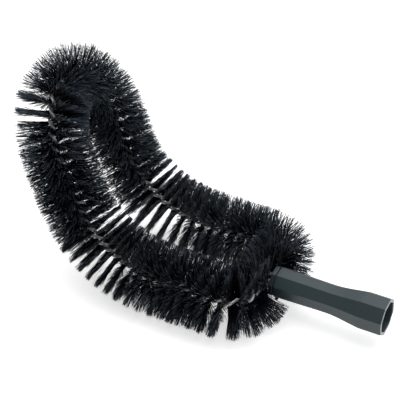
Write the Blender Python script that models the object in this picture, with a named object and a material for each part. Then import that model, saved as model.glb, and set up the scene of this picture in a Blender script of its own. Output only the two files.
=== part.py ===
"""Curved pipe duster: a twisted-wire brush bent into a long loop, in a faceted pole socket.

Lengths are in metres. The socket's axis lies along +X with its open mouth at +X. The loop
runs towards -X, lies flat for a while and then sweeps up, so that its hollow side fits over
a pipe. The part rests on the bristle tips of the flat stretch, with the middle of its
footprint at the origin.
"""

import math

import bmesh
import bpy
import numpy as np

# Clearances
SEAT_GAP = 0.0003
CUT_OVERRUN = 0.002

# Pole socket: an octagonal moulding with a waist and a flared mouth
SOCKET_LENGTH = 0.0989
SOCKET_SIDES = 8
SOCKET_TURN_DEG = 7.2
BRUSH_END_RADIUS = 0.0142
WAIST_RADIUS = 0.0134
MOUTH_RADIUS = 0.0170
WAIST_AT = 0.048
MOUTH_COLLAR_LENGTH = 0.020
FLARE_STEPS = 6
RIM_CHAMFER = 0.0006

# Bore of the socket: a seat for the plug, then a taper that opens towards the mouth
PLUG_SEAT_RADIUS = 0.0112
PLUG_SEAT_DEPTH = 0.032
BORE_INNER_RADIUS = 0.0104
BORE_MOUTH_RADIUS = 0.0138
BORE_TAPER_LENGTH = 0.044
BORE_SIDES = 32

# Coarse right-hand thread inside the mouth
THREAD_PITCH = 0.005
THREAD_HEIGHT = 0.0011
THREAD_ROOT_WIDTH = 0.0026
THREAD_CREST_WIDTH = 0.0012
THREAD_SINK = 0.0006
THREAD_START = 0.0048
THREAD_TURNS = 3.5
THREAD_STEPS_PER_TURN = 20

# Plug that carries the two ends of the brush
FLANGE_RADIUS = 0.0138
FLANGE_THICKNESS = 0.0042
FLANGE_EDGE = 0.0010
GROOVE_WIDTH = 0.0011
GROOVE_RADIUS = 0.0121
PLUG_END_GAP = 0.0015
STEM_OFFSET = 0.0050
STEM_DEPTH = 0.0240
HOLE_SIDES = 16

# Twisted wire core, with a left-hand twist
WIRE_RADIUS = 0.0012
FILAMENT_LAYER = 0.0010
TWIST_PITCH = 0.0199
TWIST_START_DEG = 160.0
TIGHT_TWIST_AT = 0.187
TIGHT_TWIST_LENGTH = 0.106
TIGHT_TWIST_SHARE = 0.10
WIRE_POINTS_PER_TURN = 7

# Plan of the loop, laid out flat
STEM_STANDOFF = 0.0015
STEM_BEND_RADIUS = 0.0055
LOOP_WIDTH = 0.0941
LOOP_LENGTH = 0.2944
CORNER_RADIUS = 0.0212
SHOULDER_RADIUS = 0.0650
SHOULDER_TURN_DEG = 38.0
TIP_RADIUS = 0.0368

# Sweep of the loop out of its plane
BEND_START = 0.0967
BEND_RADIUS = 0.0897
BEND_ANGLE_DEG = 71.0

# Bristles, cut to one radius but for a stretch on each side of the loop
BRISTLE_RADIUS = 0.0318
LONG_BRISTLES_AT = 0.170
LONG_BRISTLES_STRETCH = 0.190
LONG_BRISTLES_EXTRA = 0.0018
BARE_MARGIN = 0.0028
BRISTLE_SECTIONS = 40
STATIONS_PER_SECTION = 12
LAYER_HALF_WIDTH = 0.0010
TIP_WIDTH = 0.0026
TIP_THICKNESS = 0.0044
FLOOR_CUT = 0.0005
INSIDE_REACH_SHARE = 0.85
ROUTE_STEP = 0.0005
SHARP_EDGE_DEG = 30.0

COLOURS = {
    "socket_grey": ((0.055, 0.066, 0.068, 1), 0.42, 0.0),
    "plug_grey": ((0.045, 0.054, 0.056, 1), 0.45, 0.0),
    "galvanised_wire": ((0.62, 0.63, 0.64, 1), 0.30, 1.0),
    "bristle_black": ((0.012, 0.013, 0.015, 1), 0.38, 0.0),
}

# Sizes that follow from the ones above
WIRE_OFFSET = (WIRE_RADIUS + FILAMENT_LAYER / 2 + SEAT_GAP) / math.cos(math.pi / WIRE_POINTS_PER_TURN)
STEM_HOLE_RADIUS = (WIRE_OFFSET + WIRE_RADIUS + SEAT_GAP) / math.cos(math.pi / HOLE_SIDES)
STEM_END = STEM_DEPTH - SEAT_GAP - WIRE_RADIUS
FLANGE_FACE = GROOVE_WIDTH + FLANGE_THICKNESS
FRONT_LINE = FLANGE_FACE + STEM_STANDOFF + STEM_BEND_RADIUS
BRISTLE_START = max(FLANGE_RADIUS, BRUSH_END_RADIUS) + BARE_MARGIN
SHOULDER_TURN = math.radians(SHOULDER_TURN_DEG)
BEND_ANGLE = math.radians(BEND_ANGLE_DEG)


def material(name):
    """A plain Principled material with the named colour, roughness and metallic value."""
    found = bpy.data.materials.get(name)
    if found:
        return found
    colour, roughness, metallic = COLOURS[name]
    made = bpy.data.materials.new(name)
    made.use_nodes = True
    shader = made.node_tree.nodes["Principled BSDF"]
    shader.inputs["Base Color"].default_value = colour
    shader.inputs["Roughness"].default_value = roughness
    shader.inputs["Metallic"].default_value = metallic
    return made


def clear_scene():
    for obj in list(bpy.data.objects):
        bpy.data.objects.remove(obj, do_unlink=True)


def mesh_object(name, points, faces, material_name=None):
    """A mesh object with outward faces, linked to the scene."""
    mesh = bpy.data.meshes.new(name)
    mesh.from_pydata([tuple(p) for p in points], [], faces)
    work = bmesh.new()
    work.from_mesh(mesh)
    bmesh.ops.recalc_face_normals(work, faces=work.faces)
    work.to_mesh(mesh)
    work.free()
    obj = bpy.data.objects.new(name, mesh)
    bpy.context.scene.collection.objects.link(obj)
    if material_name:
        mesh.materials.append(material(material_name))
    return obj


def ring(x, radius, sides, turn=0.0):
    """Corner points of a regular polygon that faces along X."""
    angles = [turn + 2 * math.pi * k / sides for k in range(sides)]
    return [(x, radius * math.cos(a), radius * math.sin(a)) for a in angles]


def loft(rings):
    """Points and faces of a closed tube through rings that have the same number of corners."""
    sides = len(rings[0])
    points = [p for one in rings for p in one]
    faces = [tuple(range(sides)), tuple(range(len(points) - sides, len(points)))]
    for i in range(len(rings) - 1):
        for k in range(sides):
            low, high = i * sides, (i + 1) * sides
            after = (k + 1) % sides
            faces.append((low + k, low + after, high + after, high + k))
    return points, faces


def cutter(name, points, faces):
    """A helper solid that only cuts: it is left out of renders."""
    obj = mesh_object(name, points, faces)
    obj.hide_render = True
    obj.display_type = "WIRE"
    return obj


def boolean(obj, other, operation):
    modifier = obj.modifiers.new(other.name, "BOOLEAN")
    modifier.operation = operation
    modifier.solver = "EXACT"
    modifier.object = other


def smooth_share(t):
    """Eases from 0 to 1 with level ends."""
    return t * t * (3 - 2 * t)


def flare_share(t):
    """Rises softly from the waist and runs straight into the knee of the mouth collar."""
    return t * t * (2 - t)


def outer_radius(x):
    """Corner radius of the socket at a distance x from its brush end."""
    knee = SOCKET_LENGTH - MOUTH_COLLAR_LENGTH
    if x <= WAIST_AT:
        return BRUSH_END_RADIUS + (WAIST_RADIUS - BRUSH_END_RADIUS) * smooth_share(x / WAIST_AT)
    if x >= knee:
        return MOUTH_RADIUS
    return WAIST_RADIUS + (MOUTH_RADIUS - WAIST_RADIUS) * flare_share((x - WAIST_AT) / (knee - WAIST_AT))


def bore_radius(x):
    """Radius of the tapered bore at x, widest from the mouth collar outwards."""
    start = SOCKET_LENGTH - BORE_TAPER_LENGTH
    share = min(1.0, max(0.0, (x - start) / BORE_TAPER_LENGTH))
    return BORE_INNER_RADIUS + (BORE_MOUTH_RADIUS - BORE_INNER_RADIUS) * share


def socket_turn():
    """Half a facet puts a flat on top, and the socket then sits turned on the brush."""
    return math.pi / SOCKET_SIDES + math.radians(SOCKET_TURN_DEG)


def thread_ridge():
    """Points and faces of a helical ridge that climbs along the tapered bore."""
    steps = round(THREAD_TURNS * THREAD_STEPS_PER_TURN)
    rings = []
    for i in range(steps + 1):
        turns = i / THREAD_STEPS_PER_TURN
        angle = -2 * math.pi * turns
        x = SOCKET_LENGTH - THREAD_START - turns * THREAD_PITCH
        fade = min(1.0, 2 * min(turns, THREAD_TURNS - turns) + SEAT_GAP / THREAD_HEIGHT)
        root = bore_radius(x) + THREAD_SINK
        crest = bore_radius(x) - THREAD_HEIGHT * fade
        profile = [
            (x + THREAD_ROOT_WIDTH / 2, root),
            (x + THREAD_CREST_WIDTH / 2, crest),
            (x - THREAD_CREST_WIDTH / 2, crest),
            (x - THREAD_ROOT_WIDTH / 2, root),
        ]
        rings.append([(px, r * math.cos(angle), r * math.sin(angle)) for px, r in profile])
    return loft(rings)


def make_socket():
    """Octagonal tube with a waist, a flared mouth, a through bore and a thread in the mouth."""
    knee = SOCKET_LENGTH - MOUTH_COLLAR_LENGTH
    places = [0.0, WAIST_AT / 2, WAIST_AT]
    places += [WAIST_AT + (knee - WAIST_AT) * i / FLARE_STEPS for i in range(1, FLARE_STEPS + 1)]
    places += [SOCKET_LENGTH - RIM_CHAMFER]
    rings = [ring(x, outer_radius(x), SOCKET_SIDES, socket_turn()) for x in places]
    rings.append(ring(SOCKET_LENGTH, MOUTH_RADIUS - RIM_CHAMFER, SOCKET_SIDES, socket_turn()))
    socket = mesh_object("pole_socket", *loft(rings), "socket_grey")
    taper_start = SOCKET_LENGTH - BORE_TAPER_LENGTH
    past_mouth = SOCKET_LENGTH + CUT_OVERRUN
    steps = [
        (-CUT_OVERRUN, PLUG_SEAT_RADIUS),
        (PLUG_SEAT_DEPTH, PLUG_SEAT_RADIUS),
        (PLUG_SEAT_DEPTH, BORE_INNER_RADIUS),
        (taper_start, BORE_INNER_RADIUS),
        (SOCKET_LENGTH, BORE_MOUTH_RADIUS),
        (past_mouth, BORE_MOUTH_RADIUS),
    ]
    bore = cutter("socket_bore", *loft([ring(x, r, BORE_SIDES) for x, r in steps]))
    boolean(socket, bore, "DIFFERENCE")
    ridge = cutter("socket_thread", *thread_ridge())
    boolean(socket, ridge, "UNION")
    return socket


def make_plug():
    """Flange, groove and spigot in one moulding, with a blind hole for each stem."""
    turn = socket_turn()
    rings = [
        ring(-FLANGE_FACE, FLANGE_RADIUS - FLANGE_EDGE, SOCKET_SIDES, turn),
        ring(-FLANGE_FACE + FLANGE_EDGE, FLANGE_RADIUS, SOCKET_SIDES, turn),
        ring(-GROOVE_WIDTH, FLANGE_RADIUS, SOCKET_SIDES, turn),
    ]
    plug = mesh_object("end_plug", *loft(rings), "plug_grey")
    spigot_end = PLUG_SEAT_DEPTH - PLUG_END_GAP
    steps = [
        (-GROOVE_WIDTH - FLANGE_THICKNESS / 2, GROOVE_RADIUS),
        (-SEAT_GAP, GROOVE_RADIUS),
        (-SEAT_GAP, PLUG_SEAT_RADIUS - SEAT_GAP),
        (spigot_end - FLANGE_EDGE, PLUG_SEAT_RADIUS - SEAT_GAP),
        (spigot_end, PLUG_SEAT_RADIUS - SEAT_GAP - FLANGE_EDGE),
    ]
    spigot = cutter("plug_spigot", *loft([ring(x, r, BORE_SIDES) for x, r in steps]))
    boolean(plug, spigot, "UNION")
    for side, name in ((-1, "near_hole"), (1, "far_hole")):
        hole = [
            ring(-FLANGE_FACE - CUT_OVERRUN, STEM_HOLE_RADIUS, HOLE_SIDES),
            ring(STEM_DEPTH, STEM_HOLE_RADIUS, HOLE_SIDES),
        ]
        moved = [[(x, y + side * STEM_OFFSET, z) for x, y, z in one] for one in hole]
        boolean(plug, cutter(name, *loft(moved)), "DIFFERENCE")
    return plug


def plan_pieces():
    """Half of the loop's plan as straight and round pieces, from the stem's end to the tip.

    Each piece is (length, turn per metre). A turn to the left leads away from the middle.
    The sides lean inwards by the angle at which they are tangent to both end curves.
    """
    corner_across = LOOP_WIDTH / 2 - CORNER_RADIUS
    along = LOOP_LENGTH - TIP_RADIUS - FRONT_LINE - CORNER_RADIUS
    between = math.hypot(along, corner_across)
    fuller = SHOULDER_RADIUS - TIP_RADIUS
    offset = CORNER_RADIUS - SHOULDER_RADIUS + fuller * math.cos(SHOULDER_TURN)
    lean = math.asin(offset / between) + math.atan2(corner_across, along)
    side = math.sqrt(between**2 - offset**2) - fuller * math.sin(SHOULDER_TURN)
    quarter = math.pi / 2
    return [
        (STEM_END + FLANGE_FACE + STEM_STANDOFF, 0.0),
        (STEM_BEND_RADIUS * quarter, 1 / STEM_BEND_RADIUS),
        (corner_across - STEM_OFFSET - STEM_BEND_RADIUS, 0.0),
        (CORNER_RADIUS * (quarter + lean), -1 / CORNER_RADIUS),
        (side, 0.0),
        (SHOULDER_RADIUS * SHOULDER_TURN, -1 / SHOULDER_RADIUS),
        (TIP_RADIUS * (quarter - lean - SHOULDER_TURN), -1 / TIP_RADIUS),
    ]


def plan_point(s):
    """(along, across) at a distance s from the stem's end inside the plug."""
    along, across, heading = -STEM_END, STEM_OFFSET, 0.0
    for length, turn in plan_pieces():
        part = min(s, length)
        if turn:
            after = heading + turn * part
            along += (math.sin(after) - math.sin(heading)) / turn
            across += (math.cos(heading) - math.cos(after)) / turn
            heading = after
        else:
            along += part * math.cos(heading)
            across += part * math.sin(heading)
        s -= part
        if s <= 0:
            break
    return along, across


def twist_angle(s):
    """Turn of the filament layer at s: the twist is a little tighter over one stretch."""
    share = min(max(0.0, (s - TIGHT_TWIST_AT) / TIGHT_TWIST_LENGTH + 1 / 2), 1.0)
    rise = share - math.sin(2 * math.pi * share) / (2 * math.pi)
    wound = s + TIGHT_TWIST_SHARE * TIGHT_TWIST_LENGTH * rise
    return math.radians(TWIST_START_DEG) - 2 * math.pi * wound / TWIST_PITCH


def swept(along):
    """(x, z) of a point that is at a distance along the flat plan, after the sweep up."""
    flat = min(along, BEND_START)
    angle = min(max(0.0, along - BEND_START) / BEND_RADIUS, BEND_ANGLE)
    rest = max(0.0, along - BEND_START - BEND_RADIUS * BEND_ANGLE)
    x = flat + BEND_RADIUS * math.sin(angle) + rest * math.cos(angle)
    z = BEND_RADIUS * (1 - math.cos(angle)) + rest * math.sin(angle)
    return -x, z


class Route:
    """The brush's centre line round the whole loop, with a frame that doesn't twist."""

    def __init__(self):
        self.half = sum(length for length, _ in plan_pieces())
        self.length = 2 * self.half
        count = 2 * math.ceil(self.half / ROUTE_STEP)
        self.s = np.linspace(0, self.length, count + 1)
        self.points = np.array([self.place(s) for s in self.s])
        tangents = np.gradient(self.points, self.s, axis=0)
        self.tangents = tangents / np.linalg.norm(tangents, axis=1)[:, None]
        normal = np.array([0.0, 0.0, 1.0])
        normals = []
        for tangent in self.tangents:
            normal = normal - tangent * (normal @ tangent)
            normal = normal / np.linalg.norm(normal)
            normals.append(normal)
        self.normals = np.array(normals)

    def plan(self, s):
        """(along, across) on the whole loop, with the near half on the negative side."""
        near = s <= self.half
        along, across = plan_point(s if near else self.length - s)
        return along, -across if near else across

    def place(self, s):
        along, across = self.plan(s)
        x, z = swept(along)
        return x, across, z

    def at(self, s):
        """Point, tangent, normal and binormal at s."""
        read = [
            np.array([np.interp(s, self.s, rows[:, k]) for k in range(3)])
            for rows in (self.points, self.tangents, self.normals)
        ]
        point, tangent, normal = read
        tangent = tangent / np.linalg.norm(tangent)
        normal = normal - tangent * (normal @ tangent)
        normal = normal / np.linalg.norm(normal)
        return point, tangent, normal, np.cross(tangent, normal)

    def spoke(self, s):
        """Point, tangent, and the directions across and through the filament layer at s."""
        point, tangent, normal, binormal = self.at(s)
        angle = twist_angle(s)
        across = normal * math.cos(angle) + binormal * math.sin(angle)
        return point, tangent, across, np.cross(tangent, across)

    def bristle_reach(self, s):
        """Radius to which the bristles are cut at s."""
        from_end = min(s, self.length - s)
        share = min(max(-1 / 2, (from_end - LONG_BRISTLES_AT) / LONG_BRISTLES_STRETCH), 1 / 2)
        return BRISTLE_RADIUS + LONG_BRISTLES_EXTRA * (1 + math.cos(2 * math.pi * share)) / 2

    def inside_reach(self, s):
        """How far a bristle may reach into the loop before it meets those round the corner."""
        along, across = self.plan(s)
        across = abs(across)
        corner_across = LOOP_WIDTH / 2 - CORNER_RADIUS
        if across < corner_across and along < FRONT_LINE + CORNER_RADIUS:
            return LOOP_WIDTH / 2 - across
        if along > LOOP_LENGTH - TIP_RADIUS:
            return TIP_RADIUS
        return max(CORNER_RADIUS, along - FRONT_LINE)

    def inward(self, s):
        """Direction in the loop's surface that points to the inside of the loop at s."""
        _, tangent, _, _ = self.at(s)
        along, _ = self.plan(s)
        ahead, behind = swept(along + ROUTE_STEP), swept(along - ROUTE_STEP)
        forward = np.array([ahead[0] - behind[0], 0.0, ahead[1] - behind[1]])
        forward = forward / np.linalg.norm(forward)
        up = np.cross(forward, (0.0, 1.0, 0.0))
        sideways = np.cross(up, tangent)
        return sideways / np.linalg.norm(sideways)


def make_wire(route, name, side):
    """One of the two wires: a helix round the centre line, pushed off the filament layer."""
    count = round(route.length / TWIST_PITCH * WIRE_POINTS_PER_TURN)
    curve = bpy.data.curves.new(name, "CURVE")
    curve.dimensions = "3D"
    curve.bevel_depth = WIRE_RADIUS
    curve.bevel_resolution = 1
    curve.use_fill_caps = True
    spline = curve.splines.new("POLY")
    spline.points.add(count)
    for i in range(count + 1):
        point, _, _, through = route.spoke(route.length * i / count)
        spline.points[i].co = (*(point + through * side * WIRE_OFFSET), 1)
    curve.materials.append(material("galvanised_wire"))
    obj = bpy.data.objects.new(name, curve)
    bpy.context.scene.collection.objects.link(obj)
    return obj


def bristle_tip(route, s, side, floor):
    """The four corners of a bristle tuft's cut end, in the order of its root's corners."""
    point, tangent, across, through = route.spoke(s)
    direction = across * side
    reach = route.bristle_reach(s)
    inside = direction @ route.inward(s)
    room = route.inside_reach(s)
    if inside * reach > INSIDE_REACH_SHARE * room:
        reach = INSIDE_REACH_SHARE * room / inside
    spread = 1 - max(0.0, inside) * reach / room
    centre = point + direction * reach
    wide, thick = tangent * TIP_WIDTH * spread / 2, through * TIP_THICKNESS / 2
    corners = [centre - wide + thick, centre + wide + thick, centre + wide - thick, centre - wide - thick]
    return [(x, y, max(z, floor)) for x, y, z in corners]


def make_bristles(route, index, start, end, floor):
    """One slice of the filament layer between the wires, with its tufts on both edges."""
    first = start + (SEAT_GAP / 2 if index else 0.0)
    last = end - (SEAT_GAP / 2 if index < BRISTLE_SECTIONS - 1 else 0.0)
    stations = np.linspace(first, last, STATIONS_PER_SECTION + 1)
    points, faces = [], []
    for s in stations:
        point, _, across, through = route.spoke(s)
        edge, half = across * LAYER_HALF_WIDTH, through * FILAMENT_LAYER / 2
        points += [point + edge + half, point + edge - half, point - edge - half, point - edge + half]
    for i in range(STATIONS_PER_SECTION):
        low, high = 4 * i, 4 * (i + 1)
        faces += [(low + 3, low, high), (low + 3, high, high + 3)]
        faces += [(low + 1, low + 2, high + 2), (low + 1, high + 2, high + 1)]
        for side, upper, lower in ((1, 0, 1), (-1, 3, 2)):
            root = [low + upper, high + upper, high + lower, low + lower]
            if i % 2 == (0 if side > 0 else 1):
                middle = (stations[i] + stations[i + 1]) / 2
                tip = range(len(points), len(points) + 4)
                points += [np.array(p) for p in bristle_tip(route, middle, side, floor)]
                for k in range(4):
                    after = (k + 1) % 4
                    faces.append((root[k], root[after], tip[after], tip[k]))
                faces.append(tuple(tip))
            else:
                faces.append(tuple(root))
    top = 4 * STATIONS_PER_SECTION
    faces += [(0, 1, 2, 3), (top, top + 1, top + 2, top + 3)]
    return mesh_object(f"bristles_{index + 1:02d}", points, faces, "bristle_black")


def bristled_stretch(route):
    """Start and end of the bristled stretch: a bare stem is left beside the plug."""
    reached = next(s for s in route.s if abs(route.plan(s)[1]) >= BRISTLE_START)
    return reached, route.length - reached


def shade(obj):
    """Round faces are shaded smooth, and edges sharper than the limit stay crisp."""
    if obj.type == "MESH":
        obj.data.shade_smooth()
        obj.data.set_sharp_from_angle(angle=math.radians(SHARP_EDGE_DEG))


def footprint(objects):
    """Lowest and highest corner of all shown pieces."""
    bpy.context.view_layer.update()
    graph = bpy.context.evaluated_depsgraph_get()
    corners = []
    for obj in objects:
        mesh = obj.evaluated_get(graph).to_mesh()
        flat = np.empty(3 * len(mesh.vertices), np.float32)
        mesh.vertices.foreach_get("co", flat)
        corners.append(flat.reshape(-1, 3))
    points = np.concatenate(corners)
    return points.min(axis=0), points.max(axis=0)


def stand_at_origin(objects):
    """Puts the middle of the footprint at the origin, on the floor."""
    low, high = footprint(objects)
    shift = (-(low[0] + high[0]) / 2, -(low[1] + high[1]) / 2, -low[2])
    for obj in bpy.data.objects:
        obj.location = shift


def main():
    clear_scene()
    route = Route()
    pieces = [make_socket(), make_plug()]
    pieces.append(make_wire(route, "core_wire_a", 1))
    pieces.append(make_wire(route, "core_wire_b", -1))
    start, end = bristled_stretch(route)
    ends = np.linspace(start, end, BRISTLE_SECTIONS + 1)
    floor = FLOOR_CUT - BRISTLE_RADIUS
    for index in range(BRISTLE_SECTIONS):
        pieces.append(make_bristles(route, index, ends[index], ends[index + 1], floor))
    for obj in pieces:
        shade(obj)
    stand_at_origin(pieces)


main()
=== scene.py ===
"""Looks of a curved pipe duster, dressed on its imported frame.

Lengths are in metres and colours are sRGB hex values. The core's route, the socket's outline
and the bristles' radius repeat the sizes that the frame was built with, so every piece lies
where its frame node does.
"""

import math

import bpy
import numpy as np
from mathutils import Matrix, Vector


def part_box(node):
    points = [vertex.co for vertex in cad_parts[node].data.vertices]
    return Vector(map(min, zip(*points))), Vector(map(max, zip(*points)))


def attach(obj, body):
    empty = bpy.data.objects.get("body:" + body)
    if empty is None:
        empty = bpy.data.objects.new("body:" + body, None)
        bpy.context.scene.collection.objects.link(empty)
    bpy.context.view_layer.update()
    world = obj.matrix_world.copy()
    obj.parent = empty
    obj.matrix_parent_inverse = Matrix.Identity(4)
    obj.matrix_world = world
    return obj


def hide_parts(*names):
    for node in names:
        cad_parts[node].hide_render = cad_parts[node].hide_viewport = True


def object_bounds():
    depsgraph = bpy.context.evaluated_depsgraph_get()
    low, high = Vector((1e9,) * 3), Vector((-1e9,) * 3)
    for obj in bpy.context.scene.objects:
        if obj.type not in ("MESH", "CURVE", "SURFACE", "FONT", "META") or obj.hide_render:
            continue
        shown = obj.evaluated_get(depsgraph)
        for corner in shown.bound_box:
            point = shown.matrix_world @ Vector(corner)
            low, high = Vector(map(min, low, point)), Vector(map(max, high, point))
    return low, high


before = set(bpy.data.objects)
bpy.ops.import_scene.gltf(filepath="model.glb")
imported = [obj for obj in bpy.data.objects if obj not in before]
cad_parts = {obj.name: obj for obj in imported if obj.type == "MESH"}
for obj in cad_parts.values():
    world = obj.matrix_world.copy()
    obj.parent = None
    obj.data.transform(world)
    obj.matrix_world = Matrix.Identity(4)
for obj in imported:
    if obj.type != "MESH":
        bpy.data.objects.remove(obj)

MILLIMETRE = 0.001

# Edges that turn by more than this are shaded sharp
SHARP_EDGE = math.radians(50.0)

# Pole socket: an octagonal moulding with a waist and a flared mouth
SEAT_GAP = 0.0003
SOCKET_LENGTH = 0.0989
SOCKET_SIDES = 8
SOCKET_TURN_DEG = 7.2
BRUSH_END_RADIUS = 0.0142
WAIST_RADIUS = 0.0134
MOUTH_RADIUS = 0.0170
WAIST_AT = 0.048
MOUTH_COLLAR_LENGTH = 0.020
COLLAR_START = SOCKET_LENGTH - MOUTH_COLLAR_LENGTH
CORNER_ROUNDING = 0.0011
RIM_ROUNDING = 0.0005
BRUSH_END_ROUNDING = 0.0004
CORNER_STEPS = 4
ROUNDING_STEPS = 3
SOCKET_STEP = 0.0022

# Bore of the socket, with a coarse right-hand thread in its mouth
PLUG_SEAT_RADIUS = 0.0112
PLUG_SEAT_DEPTH = 0.032
BORE_INNER_RADIUS = 0.0104
BORE_MOUTH_RADIUS = 0.0138
BORE_TAPER_LENGTH = 0.044
THREAD_PITCH = 0.005
THREAD_HEIGHT = 0.0011
THREAD_ROOT_WIDTH = 0.0026
THREAD_SINK = 0.0003
THREAD_START = 0.0048
THREAD_TURNS = 3.5
THREAD_FADE_TURNS = 0.5
THREAD_STEPS_PER_TURN = 40
THREAD_PROFILE_STEPS = 6

# Plug at the brush end: a flange, a groove and a spigot, with a hole for each stem
FLANGE_RADIUS = 0.0138
FLANGE_THICKNESS = 0.0042
FLANGE_ROUNDING = 0.0009
GROOVE_WIDTH = 0.0011
GROOVE_RADIUS = 0.0121
PLUG_FACE = -GROOVE_WIDTH - FLANGE_THICKNESS
PLUG_END_GAP = 0.0015
STEM_OFFSET = 0.0050
STEM_DEPTH = 0.0240
HOLE_SIDES = 32
CUT_OVERRUN = 0.002

# Twisted wire core, with a left-hand twist
WIRE_RADIUS = 0.0012
WIRE_OFFSET = 0.0021
WIRE_SIDES = 12
WIRE_POINTS_PER_TURN = 26
TWIST_PITCH = 0.0199
TWIST_START_DEG = 160.0
TIGHT_TWIST_AT = 0.187
TIGHT_TWIST_LENGTH = 0.106
TIGHT_TWIST_SHARE = 0.10

# Plan of the loop, laid out flat
STEM_REACH = STEM_DEPTH - SEAT_GAP - WIRE_RADIUS
STEM_STANDOFF = 0.0015
STEM_BEND_RADIUS = 0.0055
LOOP_WIDTH = 0.0941
LOOP_LENGTH = 0.2944
CORNER_RADIUS = 0.0212
SHOULDER_RADIUS = 0.0650
SHOULDER_TURN = math.radians(38.0)
TIP_RADIUS = 0.0368

# Sweep of the loop out of its plane
BEND_START = 0.0967
BEND_RADIUS = 0.0897
BEND_ANGLE = math.radians(71.0)
ROUTE_STEP = 0.0005

# Bristles: cut filaments that leave the core in two helical rows, in one piece for each slice
BRISTLE_RADIUS = 0.0318
LONG_BRISTLES_AT = 0.170
LONG_BRISTLES_STRETCH = 0.190
LONG_BRISTLES_EXTRA = 0.0018
BRISTLE_SECTIONS = 40
BRISTLE_SEED = 11
BARE_MARGIN = 0.0028
BARE_BEND_SHARE = 1 / 6

# One filament: 0.44 mm thick where a real one is 0.2 to 0.3 mm, so that fewer fill the brush
FILAMENTS_PER_MILLIMETRE = 54
FILAMENT_RADIUS = 0.00022
FILAMENT_SIDES = 3
TIP_TAPER_SHARE = 0.85
ROOT_RADIUS = 0.0012
ROOT_SPREAD = 0.0005
SAG_SCATTER = 0.0003
BENT_SHARE = 0.012
BENT_SCATTER = 0.006

# Clumps of filaments that cling together
CLUMP_FILAMENTS = 6
CLUMP_PULL_SHARE = 0.06
CLUMP_LEAN_SHARE = 1.3
GOLDEN_SHARE = (math.sqrt(5) - 1) / 2

# Stretches of the core: both ends, in metres along it from the plug, and the amount between them
SPLAYED_STRETCHES = (
    (0.015, 0.046, 1.4),
    (0.085, 0.165, 0.14),
    (0.225, 0.329, 1.0),
    (0.346, 0.520, 1.0),
    (0.610, 0.700, 1.0),
)
DENSITY_STRETCHES = ((0.015, 0.046, 0.5), (0.298, 0.342, -0.26), (0.345, 0.440, -0.20))
BROKEN_STRETCHES = ((0.024, 0.054, 0.45), (0.686, 0.716, 0.45))
# Stretch where the filaments are painted paler: a painted sheen over the far half of the loop and its
# tip
PAINTED_SHEEN_STRETCHES = ((0.290, 0.700, 1.0),)
STRETCH_EASING = 0.008
DENSITY_CHECKS = 5

# Scatter of the filaments, each pair in close rows and where the rows splay
ROW_HALF_WIDTH = (0.0016, 0.0052)
FAN_SCATTER = (0.12, 0.55)
STRAY_SHARE = (0.03, 0.14)
BROKEN_SHARE = (0.0, 0.12)
TRIM_SCATTER_SHARE = (0.06, 0.09)
STRAY_FACTOR = 2.4
BROKEN_FACTOR = 2.0
ROW_BLUR = 0.0006
CURVE_SPAN = 0.008
LEAST_SPREAD_SHARE = 0.5

# Trim of the filaments, as shares of their reach, which is more even towards the loop's inside
TRIM_LONGEST_SHARE = 1.02
TRIM_SHORTEST_SHARE = 0.72
INWARD_COSINE = 0.25
INWARD_TRIM_SHARE = 0.1
BROKEN_TRIM_SHARE = (0.28, 0.68)

# Filaments that the plug's face pushes back
PLUG_CLEARANCE = 0.0006
PLUG_CHECKS = 8
PRESSED_WIDTH = 0.040
PRESSED_HEIGHT = 0.001
PRESSED_SCATTER = 0.0012
PRESSED_BOW_SHARE = 0.06

# Tone of the filaments: 0 is dark and 1 is pale, with its shares at the root, middle and tip. These
# shares are painted shade and sheen: dark at the root, where the filaments shade each other, and pale
# at the tip, which catches the light
TONE_MEAN = 0.08
TONE_SCATTER = 0.42
# Paler tone over the far half of the loop and its tip: a painted sheen, where the real filaments catch
# more light
PAINTED_SHEEN_TONE = 0.38
PAINTED_SHADE_SHEEN_SHARES = (0.0, 0.08, 1.0)
# The cut end is at full pale tone: a painted highlight on the filaments' ends
PAINTED_CUT_END_HIGHLIGHT = 1.0

# Polypropylene filament
FILAMENT_DARK = "#05050f"
FILAMENT_LIGHT = "#6c7985"
FILAMENT_SMOOTH = 0.26
FILAMENT_ROUGH = 0.42
FILAMENT_SHEEN = 0.12
POLYPROPYLENE_IOR = 1.49

# Noise levels between which a pattern's pale and dark parts lie
NOISE_LOW = 0.3
NOISE_HIGH = 0.7

# Moulded polypropylene; the mould's grain is really about 0.1 mm, and drawn coarser to show
SOCKET_DARK = "#2a373b"
SOCKET_LIGHT = "#2f3e43"
PLUG_DARK = "#272f32"
PLUG_LIGHT = "#2c3639"
PIGMENT_CLOUD = 9 * MILLIMETRE
PIGMENT_DETAIL = 3.0
MOULD_GRAIN = 0.45 * MILLIMETRE
GRAIN_DEPTH = 0.03 * MILLIMETRE
GRAIN_STRENGTH = 0.25
MOULDED_SMOOTH = 0.34
MOULDED_ROUGH = 0.46

# Pale patches on the rounded rim of the socket's mouth: a painted highlight of light that glances off
# it
PAINTED_RIM_HIGHLIGHT = "#99a3a6"
RIM_PATCH_WIDTH = 2 * MILLIMETRE
RIM_PATCH_LOW = 0.2
RIM_PATCH_HIGH = 0.5

# Zinc plating of the wires; the draw lines are really finer than a hair, and drawn wider to show
ZINC_DULL = "#d9dee2"
ZINC_BRIGHT = "#f6f9fb"
ZINC_METALLIC = 0.5
ZINC_PATCH = 3 * MILLIMETRE
ZINC_SMOOTH = 0.22
ZINC_ROUGH = 0.36
DRAW_LINE_WIDTH = 0.25 * MILLIMETRE
DRAW_LINE_LENGTH = 9 * MILLIMETRE
DRAW_LINE_DEPTH = 0.02 * MILLIMETRE
DRAW_LINE_STRENGTH = 0.2

# Camera, fitted to the photograph: its place and turn in the socket's own axes
CAMERA_AZIMUTH_DEG = 28.19
CAMERA_ELEVATION_DEG = 35.37
CAMERA_PLACE = (0.29634, -0.68031, 0.60130)
FOCAL_PIXELS = 1100
FRAME_PIXELS = 420
SENSOR_WIDTH_MM = 36

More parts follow.
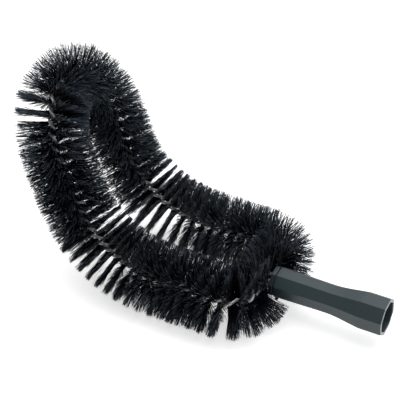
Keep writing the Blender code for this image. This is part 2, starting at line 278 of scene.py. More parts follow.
# Studio
FLOOR_SIZE = 12.0
LAMP_SIZE = 1.5
LAMP_PLACE = (0.10, 0.15, 1.4)
LAMP_POWER = 12.0
PAPER_WHITE = "#efefef"
PAPER_GLOW = 0.60
ROOM_TILT = (0.0, 0.62, 0.78)
ROOM_DARK_AT = -0.5
ROOM_LIGHT_AT = 0.8
ROOM_DARK = 0.05
ROOM_LIGHT = 1.05


def linear(hex_colour):
    """A linear RGBA colour from an sRGB hex value such as "#3a4144"."""
    channels = [int(hex_colour[i:i + 2], 16) / 255 for i in (1, 3, 5)]
    return [c / 12.92 if c <= 0.04045 else ((c + 0.055) / 1.055) ** 2.4 for c in channels] + [1.0]


def add(tree, kind, inputs=None, **settings):
    """Adds a node with its settings; each input is a value or another node's output."""
    made = tree.nodes.new(kind)
    for name, value in settings.items():
        setattr(made, name, value)
    for name, value in (inputs or {}).items():
        if isinstance(value, bpy.types.NodeSocket):
            tree.links.new(value, made.inputs[name])
        else:
            made.inputs[name].default_value = value
    return made


def blank(name):
    """A new material's node tree, emptied, with the material."""
    material = bpy.data.materials.new(name)
    material.use_nodes = True
    material.node_tree.nodes.clear()
    return material, material.node_tree


def grained_polypropylene(name, dark, light):
    """Injection-moulded polypropylene: a satin skin with a fine eroded grain.

    The grain of the mould breaks the gloss into a soft sheen, and the pigment is a little
    uneven over a centimetre or so. Where the rim attribute rises, pale patches are painted on as a
    highlight.
    """
    material, tree = blank(name)
    place = add(tree, "ShaderNodeTexCoord").outputs["Object"]
    cloud = add(tree, "ShaderNodeTexNoise", {
        "Vector": place, "Scale": 1 / PIGMENT_CLOUD, "Detail": PIGMENT_DETAIL,
    })
    tint = add(tree, "ShaderNodeMix", {
        "Factor": cloud.outputs["Fac"], "A": linear(dark), "B": linear(light),
    }, data_type="RGBA")
    grain = add(tree, "ShaderNodeTexNoise", {"Vector": place, "Scale": 1 / MOULD_GRAIN})
    gloss = add(tree, "ShaderNodeMapRange", {
        "Value": grain.outputs["Fac"], "From Min": NOISE_LOW, "From Max": NOISE_HIGH,
        "To Min": MOULDED_SMOOTH, "To Max": MOULDED_ROUGH,
    })
    bump = add(tree, "ShaderNodeBump", {
        "Height": grain.outputs["Fac"], "Strength": GRAIN_STRENGTH, "Distance": GRAIN_DEPTH,
    })
    # Painted highlight: pale patches on the rounded rim of the mouth, where light glances off it
    painted_rim = add(tree, "ShaderNodeAttribute", attribute_name="painted_rim").outputs["Fac"]
    rim_patches = add(tree, "ShaderNodeTexNoise", {"Vector": place, "Scale": 1 / RIM_PATCH_WIDTH})
    rim_highlight = add(tree, "ShaderNodeMapRange", {
        "Value": rim_patches.outputs["Fac"], "From Min": RIM_PATCH_LOW, "From Max": RIM_PATCH_HIGH, "To Max": painted_rim,
    })
    skin = add(tree, "ShaderNodeMix", {
        "Factor": rim_highlight.outputs["Result"], "A": tint.outputs["Result"], "B": linear(PAINTED_RIM_HIGHLIGHT),
    }, data_type="RGBA")
    surface = add(tree, "ShaderNodeBsdfPrincipled", {
        "Base Color": skin.outputs["Result"], "Roughness": gloss.outputs["Result"],
        "Normal": bump.outputs["Normal"], "IOR": POLYPROPYLENE_IOR,
    })
    add(tree, "ShaderNodeOutputMaterial", {"Surface": surface.outputs["BSDF"]})
    return material


def zinc_plated_steel(name):
    """Drawn steel wire with a bright zinc plating: long draw lines and a few duller patches.

    It is only half metallic: a full metal would mirror little but the dark bristles round it.
    """
    material, tree = blank(name)
    lay = add(tree, "ShaderNodeAttribute", attribute_name="lay").outputs["Vector"]
    drawn = add(tree, "ShaderNodeMapping", {
        "Vector": lay, "Scale": (1 / DRAW_LINE_WIDTH, 1 / DRAW_LINE_LENGTH, 1.0),
    })
    lines = add(tree, "ShaderNodeTexNoise", {"Vector": drawn.outputs["Vector"], "Scale": 1.0})
    place = add(tree, "ShaderNodeTexCoord").outputs["Object"]
    patches = add(tree, "ShaderNodeTexNoise", {"Vector": place, "Scale": 1 / ZINC_PATCH})
    tint = add(tree, "ShaderNodeMix", {
        "Factor": patches.outputs["Fac"], "A": linear(ZINC_DULL), "B": linear(ZINC_BRIGHT),
    }, data_type="RGBA")
    gloss = add(tree, "ShaderNodeMapRange", {
        "Value": patches.outputs["Fac"], "From Min": NOISE_LOW, "From Max": NOISE_HIGH,
        "To Min": ZINC_ROUGH, "To Max": ZINC_SMOOTH,
    })
    bump = add(tree, "ShaderNodeBump", {
        "Height": lines.outputs["Fac"], "Strength": DRAW_LINE_STRENGTH, "Distance": DRAW_LINE_DEPTH,
    })
    surface = add(tree, "ShaderNodeBsdfPrincipled", {
        "Base Color": tint.outputs["Result"], "Metallic": ZINC_METALLIC,
        "Roughness": gloss.outputs["Result"], "Normal": bump.outputs["Normal"],
    })
    add(tree, "ShaderNodeOutputMaterial", {"Surface": surface.outputs["BSDF"]})
    return material


def black_polypropylene_filament(name):
    """Extruded polypropylene filament: near black, with a smooth skin that catches the light.

    Each filament has its own tone, partly random and partly a painted sheen over the far half of the
    loop. Along it the tone rises from a painted shade at the root to a painted sheen at the greyer tip,
    and its cut end is a painted highlight. The shader's sheen is set low, because a full one on
    thousands of filaments turns the whole brush grey.
    """
    material, tree = blank(name)
    tone = add(tree, "ShaderNodeAttribute", attribute_name="tone").outputs["Fac"]
    tint = add(tree, "ShaderNodeMix", {
        "Factor": tone, "A": linear(FILAMENT_DARK), "B": linear(FILAMENT_LIGHT),
    }, data_type="RGBA")
    gloss = add(tree, "ShaderNodeMapRange", {
        "Value": tone, "To Min": FILAMENT_SMOOTH, "To Max": FILAMENT_ROUGH,
    })
    surface = add(tree, "ShaderNodeBsdfPrincipled", {
        "Base Color": tint.outputs["Result"], "Roughness": gloss.outputs["Result"],
        "IOR": POLYPROPYLENE_IOR, "Specular IOR Level": FILAMENT_SHEEN,
    })
    add(tree, "ShaderNodeOutputMaterial", {"Surface": surface.outputs["BSDF"]})
    return material


def white_paper(name):
    """Matt white backdrop paper: the camera and reflections see it white, and it keeps shadows."""
    material, tree = blank(name)
    ray = add(tree, "ShaderNodeLightPath")
    seen = add(tree, "ShaderNodeMath", {
        0: ray.outputs["Is Camera Ray"], 1: ray.outputs["Is Glossy Ray"],
    }, operation="MAXIMUM")
    seen = add(tree, "ShaderNodeMath", {
        0: seen.outputs[0], 1: ray.outputs["Is Transmission Ray"],
    }, operation="MAXIMUM")
    glow = add(tree, "ShaderNodeMath", {0: seen.outputs[0], 1: PAPER_GLOW}, operation="MULTIPLY")
    paper = add(tree, "ShaderNodeBsdfDiffuse", {"Color": linear(PAPER_WHITE)})
    light = add(tree, "ShaderNodeEmission", {"Strength": glow.outputs[0]})
    both = add(tree, "ShaderNodeAddShader", {0: paper.outputs["BSDF"], 1: light.outputs["Emission"]})
    add(tree, "ShaderNodeOutputMaterial", {"Surface": both.outputs["Shader"]})
    return material


def in_scene(name, data):
    """A new object that holds the data, linked to the scene."""
    made = bpy.data.objects.new(name, data)
    bpy.context.scene.collection.objects.link(made)
    return made


def mesh_piece(name, points, faces, material):
    """A smooth-shaded mesh object in the scene."""
    mesh = bpy.data.meshes.new(name)
    mesh.from_pydata([tuple(p) for p in points], [], faces)
    mesh.validate()
    mesh.shade_smooth()
    mesh.materials.append(material)
    return in_scene(name, mesh)


def stand_for(piece, node):
    """The piece replaces its frame node, which is hidden, and rides on the body."""
    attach(piece, "root")
    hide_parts(node)
    return piece


def weigh_normals(piece):
    """Flat faces stay flat-shaded beside their rounded edges."""
    weighted = piece.modifiers.new("flat facets", "WEIGHTED_NORMAL")
    weighted.keep_sharp = True
    return piece


def octagon(x, corner_radius):
    """Ring of a regular octagon with rounded corners, which faces along X.

    Half a facet puts a flat on top, and the socket then sits turned on the brush.
    """
    half = math.pi / SOCKET_SIDES
    first = half + math.radians(SOCKET_TURN_DEG)
    centre = corner_radius - CORNER_ROUNDING / math.cos(half)
    ring = []
    for corner in range(SOCKET_SIDES):
        middle = first + 2 * half * corner
        for step in range(CORNER_STEPS + 1):
            angle = middle + half * (2 * step / CORNER_STEPS - 1)
            ring.append((
                x,
                centre * math.cos(middle) + CORNER_ROUNDING * math.cos(angle),
                centre * math.sin(middle) + CORNER_ROUNDING * math.sin(angle),
            ))
    return ring


def circle(x, radius, like):
    """Ring of a circle whose points lie at the same angles as another ring's."""
    angles = [math.atan2(z, y) for _, y, z in like]
    return [(x, radius * math.cos(a), radius * math.sin(a)) for a in angles]


def closed_loft(rings, loop):
    """Faces between rings of the same count; the last ring joins the first, or both are capped."""
    count = len(rings[0])
    points = [p for ring in rings for p in ring]
    faces = []
    for i in range(len(rings) if loop else len(rings) - 1):
        low, high = i * count, (i + 1) % len(rings) * count
        for k in range(count):
            after = (k + 1) % count
            faces.append((low + k, high + k, high + after, low + after))
    if not loop:
        faces.append(tuple(range(count)))
        faces.append(tuple(reversed(range(len(points) - count, len(points)))))
    return points, faces


def outer_radius(x):
    """Corner radius of the socket at a distance x from its brush end."""
    if x <= WAIST_AT:
        share = x / WAIST_AT
        return BRUSH_END_RADIUS + (WAIST_RADIUS - BRUSH_END_RADIUS) * share**2 * (3 - 2 * share)
    share = min(1.0, (x - WAIST_AT) / (COLLAR_START - WAIST_AT))
    return WAIST_RADIUS + (MOUTH_RADIUS - WAIST_RADIUS) * share**2 * (2 - share)


def bore_radius(x):
    """Radius of the bore at x: it widens evenly towards the mouth."""
    share = max(0.0, x - (SOCKET_LENGTH - BORE_TAPER_LENGTH)) / BORE_TAPER_LENGTH
    return BORE_INNER_RADIUS + (BORE_MOUTH_RADIUS - BORE_INNER_RADIUS) * share


def quarter():
    """(1 - cos, 1 - sin) pairs along a quarter turn, for rounded edges."""
    angles = [math.pi / 2 * i / ROUNDING_STEPS for i in range(ROUNDING_STEPS + 1)]
    return [(1 - math.cos(a), 1 - math.sin(a)) for a in angles]


def moved(points, shift):
    """The points as vectors, moved by the shift."""
    return [Vector(p) + shift for p in points]


def socket_rings():
    """Rings up the socket's outside from its brush end, over the rim and back down its bore."""
    rings = []
    for inset, back in reversed(quarter()):
        x = BRUSH_END_ROUNDING * back
        rings.append(octagon(x, outer_radius(x) - BRUSH_END_ROUNDING * inset))
    count = math.ceil(COLLAR_START / SOCKET_STEP)
    for i in range(1, count):
        x = BRUSH_END_ROUNDING + (COLLAR_START - BRUSH_END_ROUNDING) * i / count
        rings.append(octagon(x, outer_radius(x)))
    rings.append(octagon(COLLAR_START, MOUTH_RADIUS))
    for inset, back in quarter():
        x = SOCKET_LENGTH - RIM_ROUNDING * back
        rings.append(octagon(x, MOUTH_RADIUS - RIM_ROUNDING * inset))
    like = rings[-1]
    for inset, back in reversed(quarter()):
        x = SOCKET_LENGTH - RIM_ROUNDING * back
        rings.append(circle(x, bore_radius(x) + RIM_ROUNDING * inset, like))
    count = math.ceil(BORE_TAPER_LENGTH / SOCKET_STEP)
    for i in range(1, count + 1):
        x = SOCKET_LENGTH - RIM_ROUNDING - (BORE_TAPER_LENGTH - RIM_ROUNDING) * i / count
        rings.append(circle(x, bore_radius(x), like))
    for x, radius in (
        (PLUG_SEAT_DEPTH, BORE_INNER_RADIUS),
        (PLUG_SEAT_DEPTH, PLUG_SEAT_RADIUS),
        (0.0, PLUG_SEAT_RADIUS),
    ):
        rings.append(circle(x, radius, like))
    return rings


def thread_rings():
    """Cross-sections of a rounded ridge that climbs along the tapered bore."""
    rings = []
    steps = round(THREAD_TURNS * THREAD_STEPS_PER_TURN)
    for i in range(steps + 1):
        turns = i / THREAD_STEPS_PER_TURN
        angle = -2 * math.pi * turns
        x = SOCKET_LENGTH - THREAD_START - turns * THREAD_PITCH
        fade = min(1.0, min(turns, THREAD_TURNS - turns) / THREAD_FADE_TURNS)
        ring = []
        for step in range(THREAD_PROFILE_STEPS + 1):
            across = math.pi * step / THREAD_PROFILE_STEPS
            beside = x + THREAD_ROOT_WIDTH / 2 * math.cos(across)
            lift = THREAD_HEIGHT * fade * math.sin(across)
            radius = bore_radius(min(beside, SOCKET_LENGTH)) + THREAD_SINK - lift
            ring.append((beside, radius * math.cos(angle), radius * math.sin(angle)))
        rings.append(ring)
    return rings


def make_socket(shift, plastic):
    """The pole socket with its thread; the rounded rim of its mouth gets a painted highlight."""
    points, faces = closed_loft(socket_rings(), True)
    ridge_points, ridge_faces = closed_loft(thread_rings(), False)
    faces += [tuple(len(points) + k for k in face) for face in ridge_faces]
    points += ridge_points
    socket = mesh_piece("moulded_socket", moved(points, shift), faces, plastic)
    socket.data.set_sharp_from_angle(angle=SHARP_EDGE)
    # Share of the rim's painted highlight: it rises over the rim's rounding to full at the mouth, and
    # is none elsewhere
    painted_rim = [max(0.0, 1 - (SOCKET_LENGTH - p[0]) / RIM_ROUNDING) for p in points]
    socket.data.attributes.new("painted_rim", "FLOAT", "POINT").data.foreach_set("value", painted_rim)
    return stand_for(weigh_normals(socket), "pole_socket")


def cutter(name, points, faces):
    """A helper solid that only cuts: it is left out of renders."""
    mesh = bpy.data.meshes.new(name)
    mesh.from_pydata([tuple(p) for p in points], [], faces)
    tool = in_scene(name, mesh)
    tool.hide_render = True
    tool.hide_viewport = True
    return tool


def plug_rings():
    """Rings along the plug: its flange, the groove behind it and the spigot."""
    rings = []
    for inset, back in reversed(quarter()):
        x = PLUG_FACE + FLANGE_ROUNDING * back
        rings.append(octagon(x, FLANGE_RADIUS - FLANGE_ROUNDING * inset))
    for inset, back in quarter():
        x = -GROOVE_WIDTH - BRUSH_END_ROUNDING * back
        rings.append(octagon(x, FLANGE_RADIUS - BRUSH_END_ROUNDING * inset))
    like = rings[0]
    spigot_end = PLUG_SEAT_DEPTH - PLUG_END_GAP
    for x, radius in (
        (-GROOVE_WIDTH, GROOVE_RADIUS),
        (-SEAT_GAP, GROOVE_RADIUS),
        (-SEAT_GAP, PLUG_SEAT_RADIUS - SEAT_GAP),
        (spigot_end - FLANGE_ROUNDING, PLUG_SEAT_RADIUS - SEAT_GAP),
        (spigot_end, PLUG_SEAT_RADIUS - SEAT_GAP - FLANGE_ROUNDING),
    ):
        rings.append(circle(x, radius, like))
    return rings


def stem_hole(side):
    """The two rings of a stem's hole: one past the plug's face and one at the hole's end."""
    radius = WIRE_OFFSET + WIRE_RADIUS + SEAT_GAP
    angles = [2 * math.pi * k / HOLE_SIDES for k in range(HOLE_SIDES)]
    across = [(side * STEM_OFFSET + radius * math.cos(a), radius * math.sin(a)) for a in angles]
    return [[(x, y, z) for y, z in across] for x in (PLUG_FACE - CUT_OVERRUN, STEM_DEPTH)]


def make_plug(shift, plastic):
    """The plug's flange, groove and spigot, bored for the two stems."""
    points, faces = closed_loft(plug_rings(), False)
    plug = mesh_piece("moulded_plug", moved(points, shift), faces, plastic)
    plug.data.set_sharp_from_angle(angle=SHARP_EDGE)
    for side, name in ((-1, "near_stem_hole"), (1, "far_stem_hole")):
        hole_points, hole_faces = closed_loft(stem_hole(side), False)
        cut = plug.modifiers.new(name, "BOOLEAN")
        cut.operation = "DIFFERENCE"
        cut.object = cutter(name, moved(hole_points, shift), hole_faces)
    return stand_for(weigh_normals(plug), "end_plug")


def plan_pieces():
    """Half of the loop's plan as (length, turn per metre), from the stem's end to the tip."""
    front = STEM_STANDOFF - PLUG_FACE
    corner_across = LOOP_WIDTH / 2 - CORNER_RADIUS
    along = LOOP_LENGTH - TIP_RADIUS - front - STEM_BEND_RADIUS - CORNER_RADIUS
    between = math.hypot(along, corner_across)
    fuller = SHOULDER_RADIUS - TIP_RADIUS
    offset = CORNER_RADIUS - SHOULDER_RADIUS + fuller * math.cos(SHOULDER_TURN)
    lean = math.asin(offset / between) + math.atan2(corner_across, along)
    side = math.sqrt(between**2 - offset**2) - fuller * math.sin(SHOULDER_TURN)
    right_angle = math.pi / 2
    return [
        (STEM_REACH + front, 0.0),
        (STEM_BEND_RADIUS * right_angle, 1 / STEM_BEND_RADIUS),
        (corner_across - STEM_OFFSET - STEM_BEND_RADIUS, 0.0),
        (CORNER_RADIUS * (right_angle + lean), -1 / CORNER_RADIUS),
        (side, 0.0),
        (SHOULDER_RADIUS * SHOULDER_TURN, -1 / SHOULDER_RADIUS),
        (TIP_RADIUS * (right_angle - lean - SHOULDER_TURN), -1 / TIP_RADIUS),
    ]


def plan_point(s, pieces):
    """(along, across) at a distance s from the stem's end inside the plug."""
    along, across, heading = -STEM_REACH, STEM_OFFSET, 0.0
    for length, turn in pieces:
        part = min(s, length)
        if turn:
            after = heading + turn * part
            along += (math.sin(after) - math.sin(heading)) / turn
            across += (math.cos(heading) - math.cos(after)) / turn
            heading = after
        else:
            along += part * math.cos(heading)
            across += part * math.sin(heading)
        s -= part
        if s <= 0:
            break
    return along, across


def swept(along):
    """(x, z) of a point that is at a distance along the flat plan, after the sweep up."""
    flat = min(along, BEND_START)
    angle = min(max(0.0, along - BEND_START) / BEND_RADIUS, BEND_ANGLE)
    rest = max(0.0, along - BEND_START - BEND_RADIUS * BEND_ANGLE)
    x = flat + BEND_RADIUS * math.sin(angle) + rest * math.cos(angle)
    z = BEND_RADIUS * (1 - math.cos(angle)) + rest * math.sin(angle)
    return -x, z


def twist_angle(s):
    """Turn of the filament layer at s: the twist is a little tighter over one stretch."""
    share = np.clip((s - TIGHT_TWIST_AT) / TIGHT_TWIST_LENGTH + 1 / 2, 0, 1)
    rise = share - np.sin(2 * math.pi * share) / (2 * math.pi)
    wound = s + TIGHT_TWIST_SHARE * TIGHT_TWIST_LENGTH * rise
    return math.radians(TWIST_START_DEG) - 2 * math.pi * wound / TWIST_PITCH


class Core:
    """The brush's centre line round the loop, with a frame that doesn't twist about it."""

    def __init__(self, shift):
        pieces = plan_pieces()
        half = sum(length for length, _ in pieces)
        self.length = 2 * half
        count = 2 * math.ceil(half / ROUTE_STEP)
        self.s = np.linspace(0, self.length, count + 1)
        points = []
        for s in self.s:
            near = s <= half
            along, across = plan_point(s if near else self.length - s, pieces)
            x, z = swept(along)
            points.append((x, -across if near else across, z))
        self.shift = np.array(shift)
        self.across = np.array(points)[:, 1]
        self.points = np.array(points) + self.shift
        tangents = np.gradient(self.points, self.s, axis=0)
        self.tangents = tangents / np.linalg.norm(tangents, axis=1)[:, None]
        normals, normal = [], np.array([0.0, 0.0, 1.0])
        for tangent in self.tangents:
            normal = normal - tangent * (normal @ tangent)
            normal = normal / np.linalg.norm(normal)
            normals.append(normal)
        self.normals = np.array(normals)

    def read(self, rows, s):
        """Vectors at s, from rows that hold one for each point of the route."""
        return np.stack([np.interp(s, self.s, rows[:, k]) for k in range(3)], axis=1)

    def spokes(self, s):
        """Points, tangents, and the directions across and through the filament layer."""
        tangent = unit(self.read(self.tangents, s))
        normal = self.read(self.normals, s)
        normal = unit(normal - tangent * rowwise_dot(normal, tangent))
        binormal = np.cross(tangent, normal)
        angle = twist_angle(s)[:, None]
        across = normal * np.cos(angle) + binormal * np.sin(angle)
        return self.read(self.points, s), tangent, across, np.cross(tangent, across)

    def bow(self, s):
        """How fast the route turns at s, as a vector towards the inside of its curve."""
        ahead = self.read(self.tangents, s + CURVE_SPAN)
        behind = self.read(self.tangents, s - CURVE_SPAN)
        return (ahead - behind) / (2 * CURVE_SPAN)

    def bristle_reach(self, s):
        """Radius to which the bristles are cut: a stretch on each side of the loop is longer."""
        from_end = np.minimum(s, self.length - s)
        longer = swell(from_end, LONG_BRISTLES_AT, LONG_BRISTLES_STRETCH)
        return BRISTLE_RADIUS + LONG_BRISTLES_EXTRA * longer

    def reached(self, across):
        """Where the core first is that far from the middle, and where it last is."""
        start = self.s[np.argmax(np.abs(self.across) >= across)]
        return start, self.length - start

    def slices(self):
        """Ends of the bristle slices; the first and the last one fill in as far as the stems."""
        ends = np.linspace(*self.reached(BRUSH_END_RADIUS + BARE_MARGIN), BRISTLE_SECTIONS + 1)
        ends[[0, -1]] = self.reached(STEM_OFFSET + STEM_BEND_RADIUS * BARE_BEND_SHARE)
        return ends

    def press_back(self, roots, tips, depth):
        """Tips beside the plug, and on the near side those that rise, lie back behind its face.

        Also tells which filaments the face itself pushes back: they bow against it.
        """
        limit = self.shift[0] + PLUG_FACE - PLUG_CLEARANCE - depth - roots[:, :1]
        across = roots[:, 1:2] - self.shift[1]
        offset = tips - roots
        beside = np.abs(across) < BRUSH_END_RADIUS + BARE_MARGIN
        near_side = (across < 0) & (across > -PRESSED_WIDTH)
        rising = near_side & (tips[:, 2:] > self.shift[2] + PRESSED_HEIGHT)
        ahead = offset[:, :1] > limit
        pressed = np.where((beside | rising) & ahead, limit, offset[:, :1])
        rest = offset[:, 1:]
        length = np.sqrt(rowwise_dot(offset, offset) - pressed**2)
        return roots + np.concatenate([pressed, unit(rest) * length], axis=1), beside & ahead

    def clear_of_plug(self, roots, tips):
        """Which straight lines miss the socket; those rooted beside the plug lie behind its face."""
        along = np.linspace(0, 1, PLUG_CHECKS)[None, :, None]
        x, y, z = np.moveaxis(roots[:, None] + (tips - roots)[:, None] * along - self.shift, 2, 0)
        ahead = x > PLUG_FACE - PLUG_CLEARANCE
        inside = np.hypot(y, z) < BRUSH_END_RADIUS + PLUG_CLEARANCE
        beside = np.abs(y[:, :1]) < BRUSH_END_RADIUS + BARE_MARGIN
        return ~np.any(ahead & (inside | beside), axis=1)


def unit(vectors):
    """The vectors scaled to a length of 1."""
    return vectors / np.linalg.norm(vectors, axis=-1, keepdims=True)


def rowwise_dot(a, b):
    """Dot product of each row of one array with the same row of the other."""
    return np.sum(a * b, axis=-1, keepdims=True)


def make_wire(core, name, side, steel):
    """One of the two core wires: a smooth helix, cut square at its ends."""
    turns = core.length / TWIST_PITCH
    s = np.linspace(0, core.length, round(turns * WIRE_POINTS_PER_TURN) + 1)
    points, _, _, through = core.spokes(s)
    line = points + through * side * WIRE_OFFSET
    heading = unit(np.gradient(line, axis=0))
    out = unit(through * side - heading * rowwise_dot(through * side, heading))
    beside = np.cross(heading, out)
    rings, lay = [], []
    for k in range(WIRE_SIDES):
        angle = 2 * math.pi * k / WIRE_SIDES
        rings.append(line + WIRE_RADIUS * (out * math.cos(angle) + beside * math.sin(angle)))
        lay.append(np.stack([np.full(len(s), WIRE_RADIUS * angle), s, np.zeros(len(s))], axis=1))
    rings = np.stack(rings, axis=1)
    points, faces = closed_loft([list(map(tuple, ring)) for ring in rings], False)
    wire = mesh_piece(f"twisted_{name}", points, faces, steel)
    wire.data.set_sharp_from_angle(angle=SHARP_EDGE)
    laid = wire.data.attributes.new("lay", "FLOAT_VECTOR", "POINT")
    laid.data.foreach_set("vector", np.stack(lay, axis=1).ravel().astype(np.float32))
    return stand_for(wire, name)


def swell(s, middle, length):
    """A smooth rise from 0 to 1 and back over a length about its middle."""
    share = np.clip((s - middle) / length, -1 / 2, 1 / 2)
    return ((1 + np.cos(2 * math.pi * share)) / 2)[:, None]


def within(s, stretches):
    """0 outside the stretches and each one's amount inside it, with a smooth rise at each end."""
    inside = np.zeros((len(s), 1))
    for first, last, amount in stretches:
        share = np.clip(np.minimum(s - first, last - s) / STRETCH_EASING, 0, 1)
        inside += amount * (share**2 * (3 - 2 * share))[:, None]
    return inside


def graded(pair, inside):
    """A value between its size in close rows and its size where they splay."""
    return pair[0] + (pair[1] - pair[0]) * inside


def picked(draw, count, share):
    """Which filaments fall in a random share of them."""
    return draw.uniform(0, 1, (count, 1)) < share


def filament_places(first, last, draw):
    """Each filament's place along the core, its side and its clump, and each clump's place."""
    checks = np.linspace(first, last, DENSITY_CHECKS)
    density = FILAMENTS_PER_MILLIMETRE * (1 + within(checks, DENSITY_STRETCHES).mean())
    count = round((last - first) / MILLIMETRE * density)
    clumps = math.ceil(count / CLUMP_FILAMENTS)
    clump = np.sort(draw.integers(0, clumps, count))
    clump_s = first + (last - first) * (np.arange(clumps) + 0.5) / clumps
    side = draw.choice((-1.0, 1.0), clumps)[clump][:, None]
    s = first + (last - first) * (clump + draw.uniform(0, 1, count)) / clumps
    return s, side, clump, clump_s


def trims(core, point, aim, broken, splayed, draw):
    """Where each filament is cut, as a share of its reach: more evenly if it points inwards."""
    count = len(aim)
    short = np.abs(draw.normal(0, 1, (count, 1))) * graded(TRIM_SCATTER_SHARE, splayed)
    inward = -aim[:, 1:2] * np.sign(point[:, 1:2] - core.shift[1]) > INWARD_COSINE
    short = np.where(inward, INWARD_TRIM_SHARE, 1.0) * short
    trim = np.maximum(TRIM_LONGEST_SHARE - short, TRIM_SHORTEST_SHARE)
    return np.where(broken, draw.uniform(*BROKEN_TRIM_SHARE, (count, 1)), trim)


def middles(root, tip, bowed, draw):
    """Middle of each filament: most sag a little, a few are bent, and some bow on the plug."""
    count = len(root)
    sag = np.where(picked(draw, count, BENT_SHARE), BENT_SCATTER, SAG_SCATTER)
    middle = (root + tip) / 2 + draw.normal(0, 1, (count, 3)) * sag
    against = tip[:, :1] - PRESSED_BOW_SHARE * (tip - root)[:, :1]
    middle[:, :1] = np.where(bowed, against, middle[:, :1])
    return middle


def filament_lines(core, first, last, draw):
    """Root, middle and tip of each filament, and its tone, for one slice of the brush.

    A filament leaves the pinched layer where it is rooted, and fans out over the width of its
    row. Neighbours cling together in small clumps, and a few stray out of the row. Some are
    broken short, and those that would run into the plug lie back and bow against its face.
    """
    s, side, clump, clump_s = filament_places(first, last, draw)
    count, clumps = len(s), len(clump_s)
    point, tangent, across, through = core.spokes(s)
    _, _, clump_across, _ = core.spokes(clump_s[clump])
    splayed = within(s, SPLAYED_STRETCHES)
    stray = np.where(picked(draw, count, graded(STRAY_SHARE, splayed)), STRAY_FACTOR, 1.0)
    broken = picked(draw, count, graded(BROKEN_SHARE, splayed) + within(s, BROKEN_STRETCHES))
    stray = np.where(broken, BROKEN_FACTOR, stray)

    def shared(own, common, size):
        """A scatter that is partly one filament's and partly its clump's."""
        mixed = (1 - CLUMP_PULL_SHARE) * own + CLUMP_PULL_SHARE * common[clump]
        return mixed[:, None] * size * stray

    reach = core.bristle_reach(s)
    start = across * side
    aim = unit(start * (1 - CLUMP_PULL_SHARE) + clump_across * side * CLUMP_PULL_SHARE)
    spread = np.maximum(1 - reach * rowwise_dot(core.bow(s), aim), LEAST_SPREAD_SHARE)
    spaced = 2 * (np.arange(count) * GOLDEN_SHARE % 1) - 1
    clump_lean = draw.uniform(-CLUMP_LEAN_SHARE, CLUMP_LEAN_SHARE, clumps)
    lean = shared(spaced, clump_lean, graded(ROW_HALF_WIDTH, splayed) / reach)
    lean = (lean + draw.normal(0, 1, (count, 1)) * ROW_BLUR / reach) * spread
    fan = shared(draw.normal(0, 1, count), draw.normal(0, 1, clumps), graded(FAN_SCATTER, splayed))
    aim = unit(aim + tangent * lean + through * fan)
    root = point + start * ROOT_RADIUS + through * draw.uniform(-1, 1, (count, 1)) * ROOT_SPREAD
    tip = point + aim * reach * trims(core, point, aim, broken, splayed, draw)
    tip, bowed = core.press_back(root, tip, np.abs(draw.normal(0, PRESSED_SCATTER, (count, 1))))
    middle = middles(root, tip, bowed, draw)
    # Painted sheen: filaments over the far half of the loop and its tip get a paler tone
    painted_sheen = PAINTED_SHEEN_TONE * within(s, PAINTED_SHEEN_STRETCHES)[:, 0]
    tone = np.clip(draw.normal(TONE_MEAN, TONE_SCATTER, count) + painted_sheen, 0, 1)
    kept = core.clear_of_plug(root, tip)
    return np.stack([root, middle, tip], axis=1)[kept], tone[kept]


def filament_faces(count, stations):
    """Faces of the filaments: their sides from station to station, and a cap at each end."""
    sides = FILAMENT_SIDES
    base = np.arange(count)[:, None] * (stations + 1) * sides
    faces = []
    for i in range(stations - 1):
        for k in range(sides):
            after = (k + 1) % sides
            quad = [i * sides + k, i * sides + after, (i + 1) * sides + after, (i + 1) * sides + k]
            faces += (base + np.array(quad)).tolist()
    root_cap = np.arange(sides)[::-1]
    cut_cap = stations * sides + np.arange(sides)
    for cap in (root_cap, cut_cap):
        faces += (base + cap).tolist()
    return faces


def make_filaments(core, index, first, last, box, material):
    """One slice of the brush as a mesh of three-sided filaments, inside the box.

    The last ring is doubled, so that the cut end has a tone of its own: a pale one, as a painted
    highlight.
    """
    draw = np.random.default_rng(BRISTLE_SEED + index)
    lines, tone = filament_lines(core, first, last, draw)
    low, high = np.array(box[0]) + FILAMENT_RADIUS, np.array(box[1]) - FILAMENT_RADIUS
    lines = np.clip(lines, low, high)
    count, stations = lines.shape[:2]
    heading = unit(lines[:, -1] - lines[:, 0])
    beside = unit(np.cross(heading, unit(draw.normal(0, 1, (count, 3)))))
    behind = np.cross(heading, beside)
    angles = [2 * math.pi * k / FILAMENT_SIDES for k in range(FILAMENT_SIDES)]
    rings = np.stack([beside * math.cos(a) + behind * math.sin(a) for a in angles], axis=1)
    radius = np.full(stations, FILAMENT_RADIUS)
    radius[-1] *= TIP_TAPER_SHARE
    points = lines[:, :, None] + rings[:, None] * radius[None, :, None, None]
    points = np.concatenate([points, points[:, -1:]], axis=1).reshape(-1, 3)
    faces = filament_faces(count, stations)
    piece = mesh_piece(f"filaments_{index + 1:02d}", points, faces, material)
    toned = piece.data.attributes.new("tone", "FLOAT", "POINT")
    # Painted shade and sheen along each filament, and a painted highlight on its cut end
    tones = np.append(tone[:, None] * PAINTED_SHADE_SHEEN_SHARES, np.full((count, 1), PAINTED_CUT_END_HIGHLIGHT), axis=1)
    toned.data.foreach_set("value", np.repeat(tones, FILAMENT_SIDES).astype(np.float32))
    return stand_for(piece, f"bristles_{index + 1:02d}")


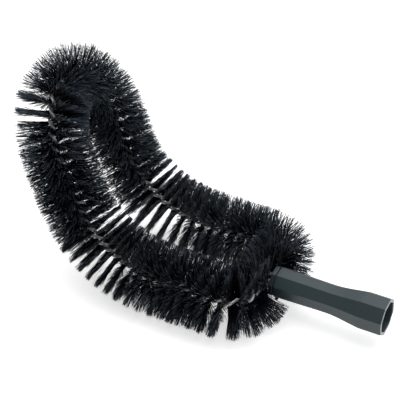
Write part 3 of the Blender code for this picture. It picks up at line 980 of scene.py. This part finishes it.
def make_camera(shift):
    """The photograph's view: the fitted place, turn and lens."""
    azimuth, elevation = math.radians(CAMERA_AZIMUTH_DEG), math.radians(CAMERA_ELEVATION_DEG)
    right = Vector((math.cos(azimuth), math.sin(azimuth), 0.0))
    back = Vector((
        math.sin(azimuth) * math.cos(elevation),
        -math.cos(azimuth) * math.cos(elevation),
        math.sin(elevation),
    ))
    up = back.cross(right)
    data = bpy.data.cameras.new("photo_view")
    data.sensor_width = SENSOR_WIDTH_MM
    data.lens = FOCAL_PIXELS / FRAME_PIXELS * SENSOR_WIDTH_MM
    data.clip_end = FLOOR_SIZE
    camera = in_scene("photo_view", data)
    turn = Matrix((right, up, back)).transposed().to_4x4()
    camera.matrix_world = Matrix.Translation(Vector(CAMERA_PLACE) + shift) @ turn
    bpy.context.scene.camera = camera


def make_lamp():
    """A wide, square area lamp that hangs above the duster and faces it."""
    data = bpy.data.lights.new("soft_lamp", "AREA")
    data.shape = "SQUARE"
    data.size = LAMP_SIZE
    data.energy = LAMP_POWER
    lamp = in_scene("soft_lamp", data)
    lamp.location = LAMP_PLACE
    lamp.rotation_mode = "QUATERNION"
    lamp.rotation_quaternion = (-Vector(LAMP_PLACE)).to_track_quat("-Z", "Y")


def make_room():
    """The room's light, bright from above and behind and dark from low in front.

    Where the camera sees the room itself, it is plain white.
    """
    world = bpy.data.worlds.new("pale_room")
    bpy.context.scene.world = world
    world.use_nodes = True
    tree = world.node_tree
    tree.nodes.clear()
    way = add(tree, "ShaderNodeTexCoord").outputs["Generated"]
    tilt = add(tree, "ShaderNodeVectorMath", {0: way, 1: ROOM_TILT}, operation="DOT_PRODUCT")
    room = add(tree, "ShaderNodeMapRange", {
        "Value": tilt.outputs["Value"], "From Min": ROOM_DARK_AT, "From Max": ROOM_LIGHT_AT,
        "To Min": ROOM_DARK, "To Max": ROOM_LIGHT,
    }, interpolation_type="SMOOTHSTEP")
    ray = add(tree, "ShaderNodeLightPath")
    seen = add(tree, "ShaderNodeMath", {
        0: ray.outputs["Is Camera Ray"], 1: ray.outputs["Is Transmission Ray"],
    }, operation="MAXIMUM")
    level = add(tree, "ShaderNodeMapRange", {
        "Value": seen.outputs[0], "To Min": room.outputs["Result"], "To Max": 1.0,
    })
    sky = add(tree, "ShaderNodeBackground", {"Strength": level.outputs["Result"]})
    add(tree, "ShaderNodeOutputWorld", {"Surface": sky.outputs["Background"]})


def make_studio():
    """White paper under the duster, with the lamp and the room's light."""
    half = FLOOR_SIZE / 2
    corners = [(-half, -half, 0.0), (half, -half, 0.0), (half, half, 0.0), (-half, half, 0.0)]
    paper = mesh_piece("paper_floor", corners, [(0, 1, 2, 3)], white_paper("matt white paper"))
    make_lamp()
    make_room()
    bpy.context.scene.view_settings.view_transform = "Standard"


def main():
    cad_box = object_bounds()
    low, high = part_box("pole_socket")
    middle = (low + high) / 2
    shift = Vector((high.x - SOCKET_LENGTH, middle.y, middle.z))
    make_camera(shift)
    make_studio()
    socket_plastic = grained_polypropylene("dark grey moulded polypropylene", SOCKET_DARK, SOCKET_LIGHT)
    plug_plastic = grained_polypropylene("charcoal moulded polypropylene", PLUG_DARK, PLUG_LIGHT)
    steel = zinc_plated_steel("zinc plated steel wire")
    filament = black_polypropylene_filament("black polypropylene filament")
    core = Core(shift)
    make_socket(shift, socket_plastic)
    make_plug(shift, plug_plastic)
    make_wire(core, "core_wire_a", 1, steel)
    make_wire(core, "core_wire_b", -1, steel)
    ends = core.slices()
    for index in range(BRISTLE_SECTIONS):
        make_filaments(core, index, ends[index], ends[index + 1], cad_box, filament)


main()
